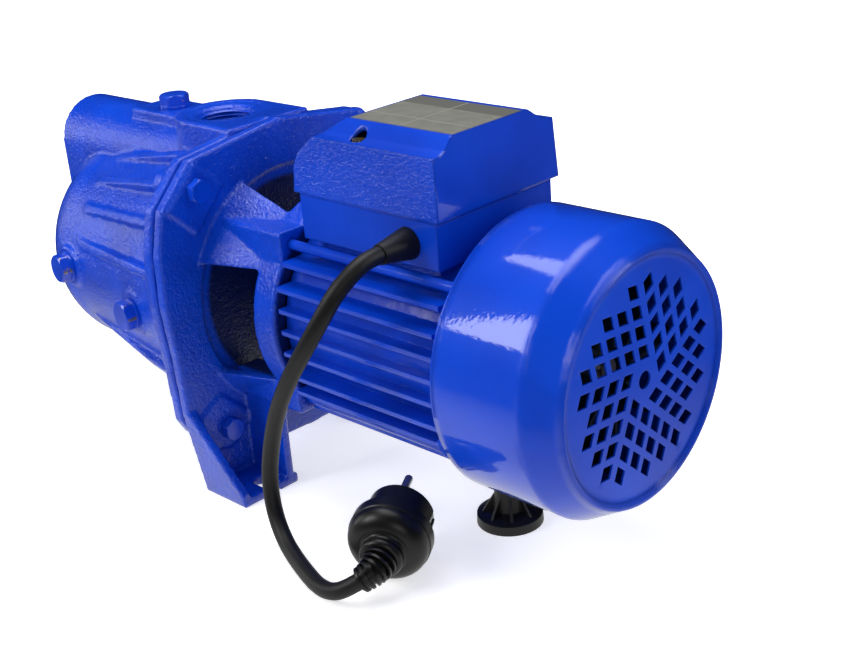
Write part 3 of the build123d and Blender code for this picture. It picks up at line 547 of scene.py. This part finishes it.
rounded_casting("rounded_pump_casing", "pump_casing", 1.25, 3, 0.45)
rounded_casting("rounded_motor_bracket", "motor_bracket", 1.1, 3, 0.55)

# %% [markdown]
# ## Threads in the ports
# A pipe thread is a ridge repeated at an even pitch. Geometry nodes do the repeating. The tree
# has named inputs for how many pieces there are, the step from each to the next and the
# material. The tree is applied at once, so what stays is a plain mesh.

# %% Row of pieces
def row_tree():
    """Geometry nodes that repeat a piece along a line."""
    tree = bpy.data.node_groups.new("row_of_pieces", "GeometryNodeTree")
    face = tree.interface
    face.new_socket("Piece", in_out="INPUT", socket_type="NodeSocketGeometry")
    face.new_socket("Count", in_out="INPUT", socket_type="NodeSocketInt")
    face.new_socket("Step", in_out="INPUT", socket_type="NodeSocketVector")
    face.new_socket("Material", in_out="INPUT", socket_type="NodeSocketMaterial")
    face.new_socket("Row", in_out="OUTPUT", socket_type="NodeSocketGeometry")
    given = add(tree, "NodeGroupInput").outputs
    line = add(tree, "GeometryNodeMeshLine", {"Count": given["Count"], "Offset": given["Step"]},
               mode="OFFSET")
    copies = add(tree, "GeometryNodeInstanceOnPoints", {"Points": line.outputs["Mesh"],
                                                        "Instance": given["Piece"]})
    real = add(tree, "GeometryNodeRealizeInstances", {"Geometry": copies.outputs["Instances"]})
    painted = add(tree, "GeometryNodeSetMaterial", {"Geometry": real.outputs["Geometry"],
                                                    "Material": given["Material"]})
    add(tree, "NodeGroupOutput", {"Row": painted.outputs["Geometry"]})
    return tree


def repeat(piece, tree, values):
    """Run a tree on a piece with its named inputs set, and keep the result as its mesh."""
    modifier = piece.modifiers.new(tree.name, "NODES")
    modifier.node_group = tree
    for socket in tree.interface.items_tree:
        if socket.in_out == "INPUT" and socket.name in values:
            modifier[socket.identifier] = values[socket.name]
    return settle(piece)


ROW = row_tree()
print("row tree has", len(ROW.nodes), "nodes")

# %% [markdown]
# One ring with a ridge's outline is turned about the port's axis, and the row tree sets seven
# of them down the bore. Rings look like a thread from any normal distance, though a real
# thread is a helix.

# %% Threads
THREAD_PITCH = 2.309
THREAD_COUNT = 7


def lathe(name, profile, centre, axis, steps=72):
    """Closed ring turned from (radius, height) points in millimetres about an axis."""
    turn = Vector(axis).to_track_quat("Z", "Y")
    verts = []
    for k in range(steps):
        angle = 2 * pi * k / steps
        for radius, height in profile:
            local = Vector((radius * cos(angle), radius * sin(angle), height)) * MM
            verts.append(turn @ local + Vector(centre) * MM)
    size = len(profile)
    faces = []
    for k in range(steps):
        here = k * size
        there = (k + 1) % steps * size
        for i in range(size):
            j = (i + 1) % size
            faces.append((here + i, there + i, there + j, here + j))
    mesh = bpy.data.meshes.new(name)
    mesh.from_pydata(verts, [], faces)
    piece = bpy.data.objects.new(name, mesh)
    bpy.context.scene.collection.objects.link(piece)
    return piece


def port_thread(name, mouth, axis):
    ridge = [(16.58, 1.1), (15.35, 0.15), (15.35, -0.15), (16.58, -1.1)]
    piece = lathe(name, ridge, mouth, axis)
    step = Vector(axis) * -THREAD_PITCH * MM
    repeat(piece, ROW, {"Count": THREAD_COUNT, "Step": step, "Material": sand_cast})
    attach(piece, "frame")
    print(name, "has", len(piece.data.polygons), "faces")
    return piece


port_thread("discharge_thread", (71, 0, 208.4), (0, 0, 1))
port_thread("suction_thread", (215.4, 0, 179.5), (1, 0, 0))

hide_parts("power_cord")
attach(lead, "frame")
print("lead declared")

# %% [markdown]
# ## Studio
# The pump stands on white paper in a bright, plain background. Paper that fills the picture
# with white would also put a pale film over the whole of the glossy paint, so light paths
# split it: the camera sees white, and the paint sees a sheet that ends near the pump.

# %% Floor
FLOOR_HALF = 6.0
floor_mesh = bpy.data.meshes.new("floor")
corners = [(x * FLOOR_HALF, y * FLOOR_HALF, 0) for x, y in ((-1, -1), (1, -1), (1, 1), (-1, 1))]
floor_mesh.from_pydata(corners, [], [(0, 1, 2, 3)])
floor = bpy.data.objects.new("floor", floor_mesh)
bpy.context.scene.collection.objects.link(floor)
paper, tree, shader, place = new_finish("white_paper_sweep")
tree.links.new(two_tones(tree, place, 400, "#FBFBFB", "#FDFDFD"), shader.inputs["Base Color"])
shader.inputs["Roughness"].default_value = 0.8
ray = add(tree, "ShaderNodeLightPath").outputs
far = add(tree, "ShaderNodeVectorMath", {0: place}, operation="LENGTH")
# the paper's own glow hides most of the shadow near the pump and all of it further off
glow = add(tree, "ShaderNodeMapRange", {"Value": far.outputs["Value"], "From Min": 0.2, "From Max": 0.6,
                                        "To Min": 0.6, "To Max": 1.0})
seen_glow = add(tree, "ShaderNodeMath", {0: glow.outputs["Result"], 1: ray["Is Camera Ray"]},
                operation="MULTIPLY")
shader.inputs["Emission Color"].default_value = linear("#FFFFFF")
tree.links.new(seen_glow.outputs["Value"], shader.inputs["Emission Strength"])
output = next(n for n in tree.nodes if n.type == "OUTPUT_MATERIAL")
sheet = add(tree, "ShaderNodeMapRange", {"Value": far.outputs["Value"], "From Min": 0.2, "From Max": 0.45,
                                         "To Min": 0.85, "To Max": 0.02})
mirrored = add(tree, "ShaderNodeEmission", {"Color": linear("#FFFFFF"),
                                            "Strength": sheet.outputs["Result"]})
either = add(tree, "ShaderNodeMixShader", {"Fac": ray["Is Glossy Ray"], 1: shader.outputs["BSDF"],
                                           2: mirrored.outputs["Emission"]})
tree.links.new(either.outputs["Shader"], output.inputs["Surface"])
floor_mesh.materials.append(paper)
print("floor reaches", FLOOR_HALF, "m each way")


# %% [markdown]
# A panel overhead gives the pale reflections on top of the paint, one at each side and one
# at the far end light the flanks, and a small one stands by the camera. The world is white to
# the camera, dim as fill light and nearly black in reflections.

# %% Panels and world
def soft_panel(name, place, looks_at, width, height, power):
    """Rectangular area light at a place, turned towards a point."""
    light = bpy.data.lights.new(name, "AREA")
    light.shape = "RECTANGLE"
    light.size = width
    light.size_y = height
    light.energy = power
    lamp = bpy.data.objects.new(name, light)
    bpy.context.scene.collection.objects.link(lamp)
    direction = Vector(looks_at) - Vector(place)
    lamp.rotation_euler = direction.to_track_quat("-Z", "Y").to_euler()
    lamp.location = place
    return lamp


PUMP = (0.0, 0.0, 0.12)
soft_panel("overhead", (0.1, -0.1, 1.3), PUMP, 1.0, 0.8, 12)
soft_panel("left_panel", (0.6, 1.2, 1.0), PUMP, 0.6, 0.7, 10)
soft_panel("far_panel", (1.5, 0.7, 0.45), PUMP, 0.5, 0.7, 3.5)
soft_panel("right_panel", (-1.3, -0.7, 0.8), PUMP, 0.4, 0.9, 6)
soft_panel("front_panel", (-1.2, 1.0, 0.5), PUMP, 0.5, 0.5, 2)
world = bpy.data.worlds.new("studio")
bpy.context.scene.world = world
world.use_nodes = True
tree = world.node_tree
ray = add(tree, "ShaderNodeLightPath")
dim = add(tree, "ShaderNodeMapRange", {"Value": ray.outputs["Is Glossy Ray"], "To Min": 0.3,
                                       "To Max": 0.01})
seen = add(tree, "ShaderNodeMath", {0: dim.outputs["Result"], 1: ray.outputs["Is Camera Ray"]},
           operation="MAXIMUM")
background = tree.nodes["Background"]
background.inputs["Color"].default_value = linear("#FFFFFF")
tree.links.new(seen.outputs["Value"], background.inputs["Strength"])
bpy.context.scene.view_settings.view_transform = "Standard"
print("studio has", len(bpy.data.lights), "panels")
